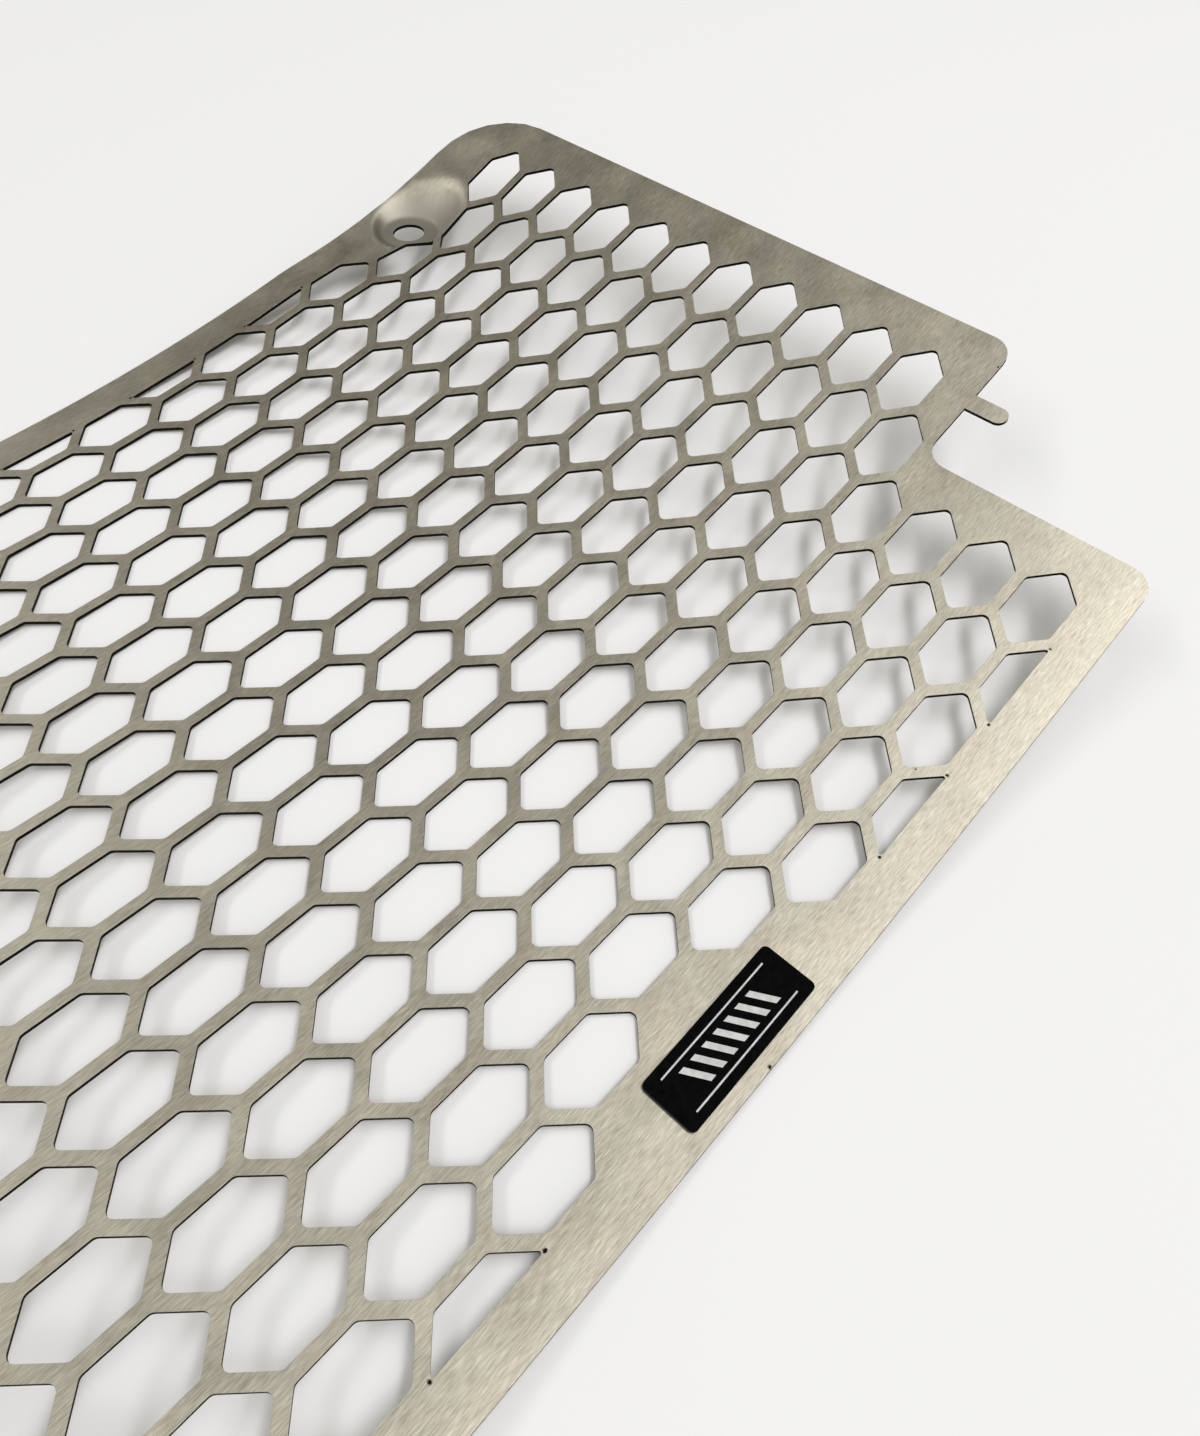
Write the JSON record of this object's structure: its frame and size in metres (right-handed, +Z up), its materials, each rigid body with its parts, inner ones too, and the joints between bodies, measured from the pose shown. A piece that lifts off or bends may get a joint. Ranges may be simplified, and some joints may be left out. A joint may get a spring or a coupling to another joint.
{
  "type": "motorcycle radiator guard",
  "caption": "Bowed stainless steel radiator guard for a motorcycle, laser-cut with a stretched honeycomb, with pressed bolt seats, corner notches with locating tongues and a badge",
  "frame": {"origin": "on the back face, in the middle of the sheet, where the bow is lowest", "axes": "+X along the length of the guard, +Y across it towards the edge with the bolt seats, +Z up out of the hollow front face"},
  "size_m": [0.2958, 0.209, 0.0225],
  "materials": {
    "sheet_steel": "brushed along its length",
    "badge_black": "gloss"
  },
  "bodies": {
    "root": {"guard_sheet": "sheet_steel", "badge": "badge_black"}
  },
  "joints": []
}
